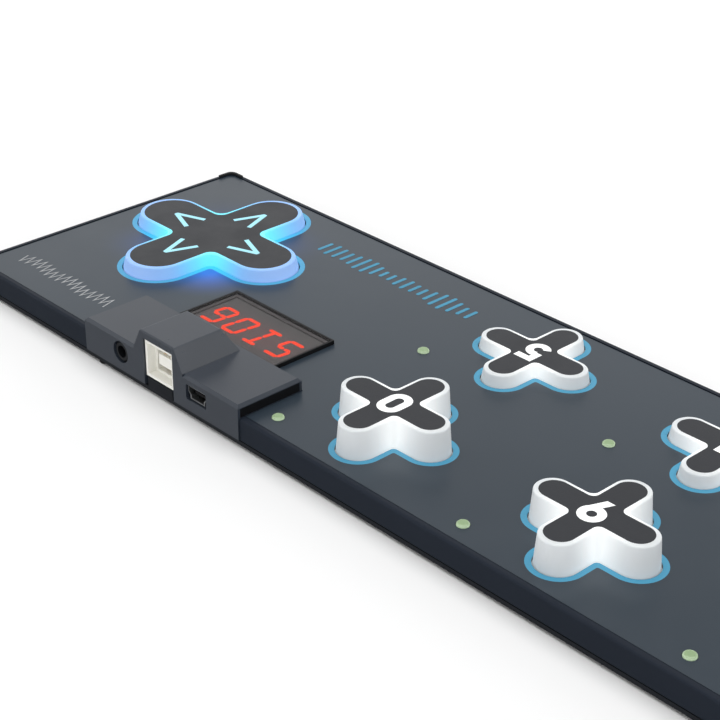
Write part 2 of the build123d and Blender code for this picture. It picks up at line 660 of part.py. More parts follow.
# --- display: dark bezel, smoked window, light module and four slanted characters ---
BEZEL_TOP = PANEL_TOP + DISPLAY_RISE
WINDOW_LOW = BEZEL_TOP - WINDOW_THICK
MODULE_TOP = WINDOW_LOW - SEGMENT_THICK - WINDOW_GAP
with BuildPart() as display_bezel:
    with BuildSketch(Plane((DISPLAY_X, DISPLAY_Y, PANEL_TOP))):
        Rectangle(DISPLAY_LENGTH, DISPLAY_DEPTH)
        Rectangle(MODULE_LENGTH + 2 * MODULE_GAP, MODULE_DEPTH + 2 * MODULE_GAP, mode=Mode.SUBTRACT)
    extrude(amount=DISPLAY_RISE)
    with BuildSketch(Plane((DISPLAY_X, DISPLAY_Y, BEZEL_TOP))):
        Rectangle(DISPLAY_LENGTH - 2 * DISPLAY_BORDER, DISPLAY_DEPTH - 2 * DISPLAY_BORDER)
    extrude(amount=-WINDOW_THICK, mode=Mode.SUBTRACT)
export(display_bezel, "display_bezel")

with BuildPart() as display_window:
    with BuildSketch(Plane((DISPLAY_X, DISPLAY_Y, WINDOW_LOW))):
        Rectangle(
            DISPLAY_LENGTH - 2 * DISPLAY_BORDER - 2 * WINDOW_GAP,
            DISPLAY_DEPTH - 2 * DISPLAY_BORDER - 2 * WINDOW_GAP,
        )
    extrude(amount=WINDOW_THICK)
export(display_window, "display_window")

with BuildPart() as display_module:
    with BuildSketch(Plane((DISPLAY_X, DISPLAY_Y, BOARD_TOP))):
        Rectangle(MODULE_LENGTH, MODULE_DEPTH)
    extrude(amount=MODULE_TOP - BOARD_TOP)
export(display_module, "display_module")

# Ends of each bar as fractions of the character's width and height, and the bars each digit lights.
BAR_ENDS = {
    "top": ((0, 1), (1, 1)),
    "middle_left": ((0, 0.5), (0.5, 0.5)),
    "middle_right": ((0.5, 0.5), (1, 0.5)),
    "bottom": ((0, 0), (1, 0)),
    "upper_left": ((0, 0.5), (0, 1)),
    "upper_right": ((1, 0.5), (1, 1)),
    "lower_left": ((0, 0), (0, 0.5)),
    "lower_right": ((1, 0), (1, 0.5)),
    "centre_top": ((0.5, 0.5), (0.5, 1)),
    "centre_bottom": ((0.5, 0), (0.5, 0.5)),
}
MIDDLE_BARS = ["middle_left", "middle_right"]
LIT_BARS = {
    "0": ["top", "bottom", "upper_left", "upper_right", "lower_left", "lower_right"],
    "1": ["top", "bottom", "centre_top", "centre_bottom"],
    "5": ["top", "bottom", "upper_left", "lower_right"] + MIDDLE_BARS,
    "6": ["top", "bottom", "upper_left", "lower_left", "lower_right"] + MIDDLE_BARS,
}
SEGMENT_SPACE = 0.12


def segment(bar_name):
    """One pointed bar of a character, upright, with the character's lower left at the origin."""
    width = CHARACTER_WIDTH - SEGMENT_STROKE
    height = CHARACTER_HEIGHT - SEGMENT_STROKE
    (x0, y0), (x1, y1) = BAR_ENDS[bar_name]
    start = Vector(SEGMENT_STROKE / 2 + x0 * width, SEGMENT_STROKE / 2 + y0 * height)
    end = Vector(SEGMENT_STROKE / 2 + x1 * width, SEGMENT_STROKE / 2 + y1 * height)
    along = (end - start).normalized()
    side = Vector(-along.Y, along.X) * (SEGMENT_STROKE / 2 - SEGMENT_SPACE / 2)
    tip = along * SEGMENT_SPACE
    shoulder = along * (SEGMENT_STROKE / 2)
    corners = [start + tip, start + shoulder + side, end - shoulder + side]
    corners += [end - tip, end - shoulder - side, start + shoulder - side]
    lean = math.tan(math.radians(CHARACTER_SLANT))
    return [(corner.X + lean * corner.Y, corner.Y) for corner in corners]


FIRST_CHARACTER_X = DISPLAY_X - (3 * CHARACTER_PITCH + CHARACTER_WIDTH) / 2 - 0.7
BASELINE_Y = REAR - CHARACTER_BASELINE
with BuildPart() as display_segments:
    for place, character in enumerate(SHOWN_NUMBER):
        corner_x = FIRST_CHARACTER_X + place * CHARACTER_PITCH
        with BuildSketch(Plane((corner_x, BASELINE_Y, MODULE_TOP))):
            for bar_name in LIT_BARS[character]:
                with BuildLine():
                    Polyline(*segment(bar_name), close=True)
                make_face()
        extrude(amount=SEGMENT_THICK)
export(display_segments, "display_segments")

# --- connector housing: hollow cover over the ports, with a raised hood over the square one ---
HOUSING_LOW = WALL_LOW
SKIRT_LOW = PANEL_LOW
USB_LOW = BOARD_TOP
USB_TOP = USB_LOW + USB_HEIGHT
MINI_X = PORT_X + MINI_OFFSET
JACK_X = PORT_X + JACK_OFFSET
MINI_LOW = BOARD_TOP + MINI_LIFT
MINI_Z = MINI_LOW + MINI_HEIGHT / 2
JACK_Z = BOARD_TOP + JACK_HEIGHT_ABOVE_BOARD
HOUSING_Y = (HOUSING_REAR + HOUSING_FRONT) / 2
HOUSING_SPAN = HOUSING_REAR - HOUSING_FRONT
SEAL_LOW = PANEL_TOP + SEAL_MARGIN / 2
SEAL_TALL = HOUSING_TOP - HOUSING_BEVEL - SEAL_MARGIN - SEAL_LOW
SEAL_SPAN = HOUSING_SPAN - 2 * HOUSING_BEVEL
SEAL_Y = HOUSING_Y


def rear_plane(x, y, z):
    """A plane on the rear wall whose normal points into the board."""
    return Plane((x, y, z), (1, 0, 0), (0, -1, 0))


def hood_block(shrink, top):
    """The hood as a loft from the roof up to top, with every side moved in by shrink."""
    foot_y = HOUSING_REAR - (HOOD_FOOT_DEPTH + HOUSING_PROUD) / 2
    top_y = HOUSING_REAR - (HOOD_TOP_DEPTH + HOUSING_PROUD) / 2
    with BuildSketch(Plane((PORT_X, foot_y, HOUSING_TOP - HOUSING_ROOF))) as root:
        Rectangle(HOOD_FOOT_LENGTH - 2 * shrink, HOOD_FOOT_DEPTH + HOUSING_PROUD - 2 * shrink)
    with BuildSketch(Plane((PORT_X, foot_y, HOUSING_TOP))) as foot:
        Rectangle(HOOD_FOOT_LENGTH - 2 * shrink, HOOD_FOOT_DEPTH + HOUSING_PROUD - 2 * shrink)
    with BuildSketch(Plane((PORT_X, top_y, top))) as crown:
        Rectangle(HOOD_TOP_LENGTH - 2 * shrink, HOOD_TOP_DEPTH + HOUSING_PROUD - 2 * shrink)
    loft([root.sketch.face(), foot.sketch.face(), crown.sketch.face()], ruled=True)


with BuildPart() as hood_space:
    hood_block(HOOD_WALL, HOOD_TOP - HOOD_WALL)

with BuildPart() as connector_housing:
    with BuildSketch(Plane((PORT_X, HOUSING_Y, SKIRT_LOW))):
        Rectangle(HOUSING_LENGTH, HOUSING_SPAN)
    extrude(amount=HOUSING_TOP - SKIRT_LOW)
    chamfer(connector_housing.edges().group_by(Axis.Z)[-1], HOUSING_BEVEL)
    hood_block(0, HOOD_TOP)
    fillet(connector_housing.edges().group_by(Axis.Z)[-1], EDGE_ROUNDING / 2)
    with BuildSketch(Plane((PORT_X, HOUSING_REAR - HOUSING_WALL / 2, HOUSING_LOW))):
        Rectangle(HOUSING_LENGTH, HOUSING_WALL)
    extrude(amount=SKIRT_LOW - HOUSING_LOW)
    with BuildSketch(Plane((PORT_X, HOUSING_Y, SKIRT_LOW))):
        Rectangle(HOUSING_LENGTH - 2 * HOUSING_WALL, HOUSING_SPAN - 2 * HOUSING_WALL)
    extrude(amount=HOUSING_TOP - HOUSING_ROOF - SKIRT_LOW, mode=Mode.SUBTRACT)
    add(hood_space.part, mode=Mode.SUBTRACT)
    for point in POST_POINTS:
        with BuildSketch(Plane((point[0], point[1], BASE_TOP))):
            Circle(HOUSING_POST_RADIUS)
            Circle(SCREW_RADIUS + SCREW_GAP, mode=Mode.SUBTRACT)
        extrude(amount=HOUSING_TOP - HOUSING_ROOF - BASE_TOP)
    with BuildSketch(rear_plane(PORT_X, HOUSING_REAR, (HOUSING_LOW + USB_TOP + PORT_GAP) / 2)):
        Rectangle(USB_WIDTH + 2 * PORT_GAP, USB_TOP + PORT_GAP - HOUSING_LOW)
    extrude(amount=2 * HOUSING_WALL, mode=Mode.SUBTRACT)
    with BuildSketch(rear_plane(MINI_X, HOUSING_REAR, MINI_Z)):
        RectangleRounded(MINI_WIDTH + 2 * PORT_GAP, MINI_HEIGHT + 2 * PORT_GAP, PORT_GAP * 2)
    extrude(amount=2 * HOUSING_WALL, mode=Mode.SUBTRACT)
    with BuildSketch(rear_plane(JACK_X, HOUSING_REAR, JACK_Z)):
        Circle(JACK_FERRULE + PORT_GAP)
    extrude(amount=2 * HOUSING_WALL, mode=Mode.SUBTRACT)
    with BuildSketch(Plane((PORT_X, SEAL_Y, SEAL_LOW))):
        with GridLocations(HOUSING_LENGTH, 1, 2, 1):
            Rectangle(2 * SEAL_DEPTH, SEAL_SPAN)
    extrude(amount=SEAL_TALL, mode=Mode.SUBTRACT)
export(connector_housing, "connector_housing")

# --- end seals: black strips let into both ends of the housing, above the panel ---
with BuildPart() as end_seals:
    with BuildSketch(Plane((PORT_X, SEAL_Y, SEAL_LOW))):
        with GridLocations(HOUSING_LENGTH - SEAL_DEPTH, 1, 2, 1):
            Rectangle(SEAL_DEPTH, SEAL_SPAN)
    extrude(amount=SEAL_TALL)
export(end_seals, "end_seals")

# --- square port, with its tongue and contacts ---
PORT_FACE = REAR - 0.2
USB_MID = USB_LOW + USB_HEIGHT / 2
with BuildPart() as usb_socket:
    with BuildSketch(rear_plane(PORT_X, PORT_FACE, USB_MID)):
        Rectangle(USB_WIDTH, USB_HEIGHT)
    extrude(amount=USB_DEPTH)
    with BuildSketch(rear_plane(PORT_X, PORT_FACE, USB_MID)):
        Rectangle(USB_PORT_WIDTH, USB_PORT_HEIGHT)
    extrude(amount=USB_PORT_DEPTH, mode=Mode.SUBTRACT)
    port_corners = usb_socket.edges().filter_by(Axis.Y).group_by(
        lambda edge: round(math.hypot(edge.center().X - PORT_X, edge.center().Z - USB_MID), 2)
    )
    chamfer([edge for edge in port_corners[0] if edge.center().Z > USB_MID], 1.3)
    with BuildSketch(rear_plane(PORT_X, PORT_FACE, USB_MID)):
        Rectangle(USB_WIDTH - 2 * USB_MOUTH_WALL, USB_HEIGHT - 2 * USB_MOUTH_WALL)
    extrude(amount=USB_MOUTH_DEPTH, mode=Mode.SUBTRACT)
    with BuildSketch(rear_plane(PORT_X, PORT_FACE - USB_TONGUE_INSET, USB_MID)):
        Rectangle(USB_TONGUE_WIDTH, USB_TONGUE_HEIGHT)
    extrude(amount=USB_PORT_DEPTH - USB_TONGUE_INSET)
export(usb_socket, "usb_socket")

CONTACT_WIDTH = 1.0
CONTACT_LENGTH = USB_PORT_DEPTH - USB_TONGUE_INSET - 1.0
CONTACT_Y = PORT_FACE - USB_PORT_DEPTH + CONTACT_LENGTH / 2
CONTACT_THICK = 0.25
with BuildPart() as usb_contacts:
    for face_z in (USB_MID + USB_TONGUE_HEIGHT / 2, USB_MID - USB_TONGUE_HEIGHT / 2 - CONTACT_THICK):
        with BuildSketch(Plane((PORT_X, CONTACT_Y, face_z))):
            with GridLocations(2.5, 1, 2, 1):
                Rectangle(CONTACT_WIDTH, CONTACT_LENGTH)
        extrude(amount=CONTACT_THICK)
export(usb_contacts, "usb_contacts")

# --- small port: a metal shell, narrower below, round a plastic core ---


def mini_outline(shrink):
    """The small port's outline, with slanted lower corners, in the current line."""
    half = MINI_WIDTH / 2 - shrink
    top = MINI_HEIGHT / 2 - shrink
    waist = half - 0.9
    points = [(-half, top), (half, top), (half, 0.1), (waist, -0.7), (waist, -top)]
    points += [(-waist, -top), (-waist, -0.7), (-half, 0.1)]
    Polyline(*points, close=True)


MINI_CORE_DEPTH = 3.0
with BuildPart() as mini_shell:
    with BuildSketch(rear_plane(MINI_X, PORT_FACE, MINI_Z)):
        with BuildLine():
            mini_outline(0)
        make_face()
        with BuildLine():
            mini_outline(MINI_SHELL)
        make_face(mode=Mode.SUBTRACT)
    extrude(amount=MINI_DEPTH)
    with BuildSketch(Plane((MINI_X, PORT_FACE - MINI_DEPTH / 2, BOARD_TOP))):
        with GridLocations(MINI_WIDTH - 3.0, MINI_DEPTH - 5.0, 2, 2):
            Rectangle(0.8, 1.6)
    extrude(amount=MINI_LIFT)
export(mini_shell, "mini_shell")

MINI_TONGUE = 0.6
MINI_TONGUE_WIDTH = 4.1
MINI_TONGUE_INSET = 1.0
with BuildPart() as mini_core:
    with BuildSketch(rear_plane(MINI_X, PORT_FACE - MINI_DEPTH + MINI_CORE_DEPTH, MINI_Z)):
        with BuildLine():
            mini_outline(MINI_SHELL)
        make_face()
    extrude(amount=MINI_CORE_DEPTH)
    with BuildSketch(rear_plane(MINI_X, PORT_FACE - MINI_TONGUE_INSET, MINI_Z)):
        Rectangle(MINI_TONGUE_WIDTH, MINI_TONGUE)
    extrude(amount=MINI_DEPTH - MINI_CORE_DEPTH - MINI_TONGUE_INSET)
export(mini_core, "mini_core")

# --- pedal jack: a plastic body with a metal ferrule at its mouth ---
JACK_FACE = REAR
FERRULE_DEPTH = 1.8
with BuildPart() as jack_body:
    with BuildSketch(rear_plane(JACK_X, JACK_FACE - FERRULE_DEPTH, JACK_Z)):
        Rectangle(JACK_BODY_WIDTH, 2 * JACK_HEIGHT_ABOVE_BOARD)
        Circle(JACK_BORE, mode=Mode.SUBTRACT)
    extrude(amount=JACK_DEPTH - FERRULE_DEPTH)
export(jack_body, "jack_body")

with BuildPart() as jack_ferrule:
    with BuildSketch(rear_plane(JACK_X, JACK_FACE, JACK_Z)):
        Circle(JACK_FERRULE)
        Circle(JACK_BORE, mode=Mode.SUBTRACT)
    extrude(amount=FERRULE_DEPTH)
    chamfer(jack_ferrule.edges().group_by(Axis.Y)[-1].sort_by(SortBy.LENGTH)[-1], 0.3)
export(jack_ferrule, "jack_ferrule")

# --- screws, grip strips and edge bumpers on the underside ---


def screws(points, depth):
    """Flat-headed screws driven up from the underside."""
    for point in points:
        with BuildSketch(Plane((point[0], point[1], BASE_LOW))) as head:
            Circle(SCREW_HEAD_RADIUS)
        extrude(head.sketch, amount=SCREW_HEAD_DEPTH)
        with BuildSketch(Plane((point[0], point[1], BASE_LOW + SCREW_HEAD_DEPTH))) as shank:
            Circle(SCREW_RADIUS)
        extrude(shank.sketch, amount=depth)
        with BuildSketch(Plane((point[0], point[1], BASE_LOW))) as recess:
            Rectangle(SCREW_RECESS, SCREW_RECESS / 4)
            Rectangle(SCREW_RECESS / 4, SCREW_RECESS)
        extrude(recess.sketch, amount=SCREW_HEAD_DEPTH / 2, mode=Mode.SUBTRACT)


with BuildPart() as tray_screws:
    screws(LUG_POINTS, SCREW_DEPTH - SCREW_HEAD_DEPTH - 0.3)
export(tray_screws, "tray_screws")

with BuildPart() as housing_screws:
    screws(POST_POINTS, 6.0)
export(housing_screws, "housing_screws")

with BuildPart() as grip_strips:
    with BuildSketch(Plane.XY):
        with Locations((0, FRONT + STRIP_INSET), (0, REAR - STRIP_INSET)):
            SlotOverall(LENGTH - 2 * STRIP_END_INSET, STRIP_WIDTH)
    extrude(amount=STRIP_HEIGHT)
export(grip_strips, "grip_strips")

with BuildPart() as edge_bumpers:
    with BuildSketch(Plane.XY.offset(BUMPER_LIFT)):
        with Locations((0, MIDDLE)):
            with GridLocations(2 * BUMPER_OFFSET, TRAY_DEPTH - 2 * BUMPER_INSET, 2, 2):
                Circle(BUMPER_RADIUS)
    extrude(amount=STRIP_HEIGHT - BUMPER_LIFT)
    fillet(edge_bumpers.edges().group_by(Axis.Z)[0], (STRIP_HEIGHT - BUMPER_LIFT) * 0.4)
export(edge_bumpers, "edge_bumpers")
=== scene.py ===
import math

import bmesh
import bpy
from mathutils import Matrix, Vector


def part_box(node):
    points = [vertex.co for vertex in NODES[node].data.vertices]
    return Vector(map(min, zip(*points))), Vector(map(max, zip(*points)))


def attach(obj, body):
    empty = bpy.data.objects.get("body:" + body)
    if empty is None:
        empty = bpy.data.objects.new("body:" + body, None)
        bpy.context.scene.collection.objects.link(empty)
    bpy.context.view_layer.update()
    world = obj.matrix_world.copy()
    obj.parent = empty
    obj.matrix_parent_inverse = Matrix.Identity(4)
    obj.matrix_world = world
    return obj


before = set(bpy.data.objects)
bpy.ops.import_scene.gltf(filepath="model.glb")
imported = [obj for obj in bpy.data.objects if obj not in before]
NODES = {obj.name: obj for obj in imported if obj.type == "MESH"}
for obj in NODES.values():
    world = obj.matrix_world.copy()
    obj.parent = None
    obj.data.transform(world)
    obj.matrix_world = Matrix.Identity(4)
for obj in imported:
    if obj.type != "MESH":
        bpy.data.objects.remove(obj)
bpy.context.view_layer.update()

MM = 0.001
DIGITS = range(10)


# ---------------------------------------------------------------- places, all read from the frame
def centre(node):
    low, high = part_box(node)
    return (low + high) / 2


PANEL_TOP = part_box("top_panel")[1].z
NAV_CENTRE = centre("nav_pad")
NAV_REACH = (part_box("nav_pad")[1].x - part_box("nav_pad")[0].x) / 2
KEY_CENTRES = {digit: centre(f"key_{digit}_cap") for digit in DIGITS}


# ---------------------------------------------------------------- material building blocks
class Surface:
    """A Principled material whose inputs are driven by noise in the object's own space."""

    def __init__(self, name, colour, rough, metal=0.0, specular=0.5):
        self.material = bpy.data.materials.new(name)
        self.material.use_nodes = True
        self.tree = self.material.node_tree
        self.shader = self.tree.nodes["Principled BSDF"]
        self.shader.inputs["Metallic"].default_value = metal
        self.shader.inputs["Specular IOR Level"].default_value = specular
        self.shader.inputs["Roughness"].default_value = rough
        self.colour = (*colour, 1.0)
        self.place = self.node("ShaderNodeTexCoord").outputs["Object"]
        self.tint = None
        self.relief = None

    def node(self, kind, **values):
        made = self.tree.nodes.new(kind)
        for key, value in values.items():
            setattr(made, key, value)
        return made

    def link(self, output, socket):
        self.tree.links.new(output, socket)

    def noise(self, scale, detail=4.0, rough=0.55, stretch=None):
        texture = self.node("ShaderNodeTexNoise")
        texture.inputs["Scale"].default_value = scale
        texture.inputs["Detail"].default_value = detail
        texture.inputs["Roughness"].default_value = rough
        source = self.place
        if stretch:
            mapping = self.node("ShaderNodeMapping")
            mapping.inputs["Scale"].default_value = stretch
            self.link(self.place, mapping.inputs["Vector"])
            source = mapping.outputs["Vector"]
        self.link(source, texture.inputs["Vector"])
        return texture.outputs["Fac"]

    def remap(self, value, low, high, to_low, to_high):
        ranger = self.node("ShaderNodeMapRange")
        ranger.inputs["From Min"].default_value = low
        ranger.inputs["From Max"].default_value = high
        ranger.inputs["To Min"].default_value = to_low
        ranger.inputs["To Max"].default_value = to_high
        self.link(value, ranger.inputs["Value"])
        return ranger.outputs["Result"]

    def mix(self, factor, first, second):
        """A colour between first and second, each a colour or an output."""
        mixer = self.node("ShaderNodeMix", data_type="RGBA")
        for socket, value in ((mixer.inputs[6], first), (mixer.inputs[7], second)):
            if isinstance(value, (tuple, list)):
                socket.default_value = (*value[:3], 1.0)
            else:
                self.link(value, socket)
        self.link(factor, mixer.inputs[0])
        return mixer.outputs[2]

    def math(self, operation, first, second):
        """One step of arithmetic on an output and a number or another output."""
        step = self.node("ShaderNodeMath", operation=operation)
        for socket, value in zip(step.inputs, (first, second)):
            if isinstance(value, (int, float)):
                socket.default_value = value
            else:
                self.link(value, socket)
        return step.outputs[0]

    def mottle(self, scale, amount, detail=4.0):
        """Cloudy lightness variation of the base colour."""
        dark = tuple(c * (1 - amount) for c in self.colour[:3])
        light = tuple(min(1.0, c * (1 + amount)) for c in self.colour[:3])
        factor = self.remap(self.noise(scale, detail), 0.3, 0.7, 0.0, 1.0)
        self.tint = self.mix(factor, dark if self.tint is None else self.tint, light)
        return self

    def rough_spread(self, scale, low, high, detail=3.0):
        level = self.remap(self.noise(scale, detail), 0.3, 0.7, low, high)
        self.link(level, self.shader.inputs["Roughness"])
        return self

    def grain(self, scale, depth, strength=0.5, detail=2.0, stretch=None):
        """Fine relief, depth in metres."""
        bump = self.node("ShaderNodeBump")
        bump.inputs["Strength"].default_value = strength
        bump.inputs["Distance"].default_value = depth
        self.link(self.noise(scale, detail, stretch=stretch), bump.inputs["Height"])
        if self.relief is not None:
            self.link(self.relief, bump.inputs["Normal"])
        self.relief = bump.outputs["Normal"]
        return self

    def distance_from(self, point, scale=(1.0, 1.0, 1.0)):
        """Distance in metres from a point, with each axis weighted."""
        shift = self.node("ShaderNodeVectorMath", operation="SUBTRACT")
        shift.inputs[1].default_value = point
        self.link(self.place, shift.inputs[0])
        weigh = self.node("ShaderNodeVectorMath", operation="MULTIPLY")
        weigh.inputs[1].default_value = scale
        self.link(shift.outputs[0], weigh.inputs[0])
        length = self.node("ShaderNodeVectorMath", operation="LENGTH")
        self.link(weigh.outputs[0], length.inputs[0])
        return length.outputs["Value"]

    def within(self, low, high):
        """1 inside a rectangle in plan and 0 outside it."""
        axes = self.node("ShaderNodeSeparateXYZ")
        self.link(self.place, axes.inputs[0])
        mask = None
        for output, start, end in zip(axes.outputs, low[:2], high[:2]):
            half = (end - start) / 2
            offset = self.math("ABSOLUTE", self.math("SUBTRACT", output, start + half), 0.0)
            side = self.math("LESS_THAN", offset, half)
            mask = side if mask is None else self.math("MULTIPLY", mask, side)
        return mask

    def ramp(self, factor, stops):
        """A smooth colour ramp; stops are (place, colour)."""
        ramp = self.node("ShaderNodeValToRGB")
        ramp.color_ramp.interpolation = "B_SPLINE"
        elements = ramp.color_ramp.elements
        while len(elements) < len(stops):
            elements.new(0.5)
        for element, (position, colour) in zip(elements, stops):
            element.position = position
            element.color = (*colour, 1.0)
        self.link(factor, ramp.inputs["Fac"])
        return ramp.outputs["Color"]

    def done(self):
        if self.tint is None:
            self.shader.inputs["Base Color"].default_value = self.colour
        else:
            self.link(self.tint, self.shader.inputs["Base Color"])
        if self.relief is not None:
            self.link(self.relief, self.shader.inputs["Normal"])
        return self.material


def paint(node, material):
    """Gives a CAD node one finished material."""
    mesh = NODES[node].data
    mesh.materials.clear()
    mesh.materials.append(material)


# ---------------------------------------------------------------- board enclosure
SLATE = (0.027, 0.040, 0.055)
NAVY = (0.013, 0.018, 0.028)

panel = Surface("panel_satin", SLATE, 0.3, specular=0.5)
panel.mottle(9.0, 0.05).rough_spread(60.0, 0.28, 0.33).grain(5200.0, 0.00002, 0.15)
# Painted glow: emission paints a little blue light on the panel beside the lit direction pad's four notches,
# in place of the light it spills.
NOTCH = NAV_REACH * 0.43
GLOW_CORE = 2.0 * MM
GLOW_REACH = 18.0 * MM
GLOW_FALLOFF = 2.2
glows = None
for along, across, power in ((-1, -1, 0.12), (-1, 1, 1.0), (1, -1, 0.06), (1, 1, 0.16)):
    spot = (NAV_CENTRE.x + along * NOTCH, NAV_CENTRE.y + across * NOTCH, PANEL_TOP)
    near = panel.remap(panel.distance_from(spot), GLOW_CORE, GLOW_REACH, 1.0, 0.0)
    soft = panel.math("POWER", near, GLOW_FALLOFF)
    part = panel.math("MULTIPLY", soft, power)
    glows = part if glows is None else panel.math("ADD", glows, part)
panel.link(panel.mix(glows, (0.0, 0.0, 0.0), (0.01, 0.11, 0.62)), panel.shader.inputs["Emission Color"])
panel.shader.inputs["Emission Strength"].default_value = 1.1
paint("top_panel", panel.done())

edge = Surface("frame_satin", NAVY, 0.5, specular=0.12)
edge.mottle(14.0, 0.08).rough_spread(80.0, 0.4, 0.5).grain(4200.0, 0.00003, 0.3)
paint("rim_frame", edge.done())

base = Surface("base_matt", (0.008, 0.010, 0.014), 0.6, specular=0.25)
paint("base_plate", base.mottle(20.0, 0.12).grain(3000.0, 0.00005, 0.5).rough_spread(90.0, 0.5, 0.7).done())

cover = Surface("housing_satin", (0.028, 0.036, 0.050), 0.3, specular=0.75)
cover.mottle(16.0, 0.06).rough_spread(70.0, 0.27, 0.34).grain(4600.0, 0.00003, 0.25)
HOUSING_MATERIAL = cover.done()
paint("connector_housing", HOUSING_MATERIAL)

dark = Surface("black_moulding", (0.004, 0.004, 0.005), 0.4, specular=0.2)
BLACK_MATERIAL = dark.mottle(60.0, 0.2).grain(3500.0, 0.00003, 0.3).rough_spread(120.0, 0.34, 0.48).done()

rubber = Surface("foot_rubber", (0.010, 0.010, 0.011), 0.75, specular=0.25)
RUBBER_MATERIAL = rubber.mottle(80.0, 0.25).grain(1800.0, 0.0001, 0.6).rough_spread(200.0, 0.65, 0.85).done()

steel = Surface("dark_screw_steel", (0.09, 0.09, 0.095), 0.35, metal=1.0)
SCREW_MATERIAL = steel.mottle(900.0, 0.3).grain(5000.0, 0.00002, 0.4).rough_spread(900.0, 0.25, 0.45).done()

# The end_seals strip is black to stand in for the shade on the housing's end wall: painted shade.
for name in ("mini_core", "jack_body", "nav_guide", "end_seals"):
    paint(name, BLACK_MATERIAL)

# The bezel's ledge under the window has the same grey face as the light module.
FACE_GREY = (0.170, 0.158, 0.160)
WINDOW_LOW, WINDOW_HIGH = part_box("display_window")
bezel = Surface("bezel_black", (0.004, 0.004, 0.005), 0.4, specular=0.2)
bezel.mottle(60.0, 0.2).grain(3500.0, 0.00003, 0.3).rough_spread(120.0, 0.34, 0.48)
bezel.tint = bezel.mix(bezel.within(WINDOW_LOW, WINDOW_HIGH), bezel.tint, FACE_GREY)
paint("display_bezel", bezel.done())

# Painted glow: emission paints the faint red light that the lit characters spill on the face round them.
face = Surface("display_face", FACE_GREY, 0.6, specular=0.1)
face.mottle(400.0, 0.05)
SEGMENT_LOW, SEGMENT_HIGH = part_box("display_segments")
middle = (SEGMENT_LOW + SEGMENT_HIGH) / 2
half_span = (SEGMENT_HIGH - SEGMENT_LOW) / 2
spread = face.distance_from(tuple(middle), (1 / half_span.x, 1 / half_span.y, 0.0))
spill = face.remap(spread, 0.6, 1.5, 1.0, 0.0)
face.link(face.mix(spill, (0.0, 0.0, 0.0), (0.05, 0.004, 0.003)), face.shader.inputs["Emission Color"])
face.shader.inputs["Emission Strength"].default_value = 1.0
paint("display_module", face.done())
for name in ("grip_strips", "edge_bumpers", "corner_guards"):
    paint(name, RUBBER_MATERIAL)
for name in ("tray_screws", "housing_screws"):
    paint(name, SCREW_MATERIAL)

# ---------------------------------------------------------------- keys
for digit in DIGITS:
    spot = KEY_CENTRES[digit]
    body = Surface(f"key_{digit}_silicone", (0.60, 0.625, 0.645), 0.42, specular=0.4)
    body.mottle(45.0, 0.025).grain(3800.0, 0.00002, 0.2).rough_spread(150.0, 0.38, 0.5)
    body.shader.inputs["Subsurface Weight"].default_value = 0.3
    body.shader.inputs["Subsurface Radius"].default_value = (0.003, 0.003, 0.0035)
    body.shader.inputs["Subsurface Scale"].default_value = 1.0
    # Painted glow: emission, brightest over the key's middle, dims toward the ends of its lobes.
    away = body.distance_from((spot.x, spot.y, PANEL_TOP), (1.0, 1.0, 0.35))
    glow = body.ramp(
        body.remap(away, 0.0065, 0.0185, 0.0, 1.0),
        ((0.0, (1.0, 1.0, 0.96)), (0.45, (0.52, 0.53, 0.52)), (1.0, (0.09, 0.10, 0.10))),
    )
    body.link(glow, body.shader.inputs["Emission Color"])
    body.shader.inputs["Emission Strength"].default_value = 0.62
    paint(f"key_{digit}", body.done())

cap = Surface("key_cap_black", (0.012, 0.014, 0.019), 0.42, specular=0.42)
CAP_MATERIAL = cap.mottle(30.0, 0.1).grain(3600.0, 0.00004, 0.35).rough_spread(110.0, 0.37, 0.48).done()
for digit in DIGITS:
    paint(f"key_{digit}_cap", CAP_MATERIAL)
paint("nav_cap", CAP_MATERIAL)

BLUE = (0.062, 0.32, 0.50)
ring = Surface("outline_blue", BLUE, 0.4, specular=0.4)
ring.mottle(40.0, 0.06).grain(4000.0, 0.00002, 0.3).rough_spread(150.0, 0.35, 0.46)
paint("key_outlines", ring.done())

ring = Surface("nav_outline_blue", BLUE, 0.4, specular=0.4)
ring.mottle(40.0, 0.06).grain(4000.0, 0.00002, 0.3).rough_spread(150.0, 0.35, 0.46)
# Painted glow: the ring emits cyan nearest the direction pad and fades to dim blue further out.
away = ring.distance_from((NAV_CENTRE.x, NAV_CENTRE.y, PANEL_TOP))
light = ring.ramp(
    ring.remap(away, 0.014, 0.030, 0.0, 1.0),
    ((0.0, (0.0, 0.75, 0.9)), (0.5, (0.0, 0.3, 0.7)), (1.0, (0.02, 0.07, 0.12))),
)
ring.link(light, ring.shader.inputs["Emission Color"])
ring.shader.inputs["Emission Strength"].default_value = 0.55
paint("nav_outline", ring.done())

lens = Surface("lamp_lens", (0.30, 0.42, 0.23), 0.2, specular=0.5)
# Painted highlight: the lens's steep sides get a paler green than its top.
facing = lens.node("ShaderNodeNewGeometry").outputs["Normal"]
split = lens.node("ShaderNodeSeparateXYZ")
lens.link(facing, split.inputs[0])
upward = lens.remap(split.outputs["Z"], 0.25, 0.97, 0.0, 1.0)
lens.tint = lens.mix(upward, (0.66, 0.84, 0.56), lens.colour)
lens.rough_spread(500.0, 0.16, 0.28)
lens.shader.inputs["Subsurface Weight"].default_value = 0.15
lens.shader.inputs["Subsurface Radius"].default_value = (0.001, 0.001, 0.001)
paint("lamp_lenses", lens.done())

